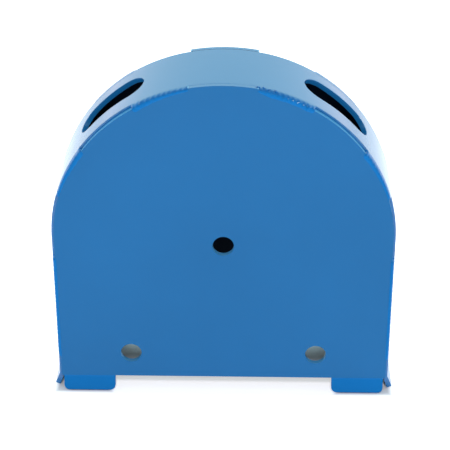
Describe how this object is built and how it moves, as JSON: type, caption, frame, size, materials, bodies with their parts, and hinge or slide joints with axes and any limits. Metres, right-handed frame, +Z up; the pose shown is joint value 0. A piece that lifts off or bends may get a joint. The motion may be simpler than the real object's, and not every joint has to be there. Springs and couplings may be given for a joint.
{
  "type": "arched steel housing",
  "caption": "Open-bottomed arched housing: a rolled plate shell with hand slots, stitch welded between lapped end plates with bolt holes and splayed feet.",
  "frame": {"origin": "on the ground plane under the middle of the housing, where its feet stand", "axes": "+Z up, -Y out of the front end plate, +X to the right seen from the front"},
  "size_m": [0.3138, 0.0914, 0.3094],
  "materials": {
    "shell_paint": "gloss",
    "plate_paint": "gloss",
    "weld_paint": "gloss"
  },
  "bodies": {
    "root": {"rolled_shell": "shell_paint", "front_end_plate": "plate_paint", "rear_end_plate": "plate_paint", "weld_front_crown_left": "weld_paint", "weld_front_crown_right": "weld_paint", "weld_front_shoulder_left": "weld_paint", "weld_front_shoulder_right": "weld_paint", "weld_front_side_left": "weld_paint", "weld_front_side_right": "weld_paint", "weld_rear_crown_left": "weld_paint", "weld_rear_crown_right": "weld_paint", "weld_rear_shoulder_left": "weld_paint", "weld_rear_shoulder_right": "weld_paint", "weld_rear_side_left": "weld_paint", "weld_rear_side_right": "weld_paint"}
  },
  "joints": []
}
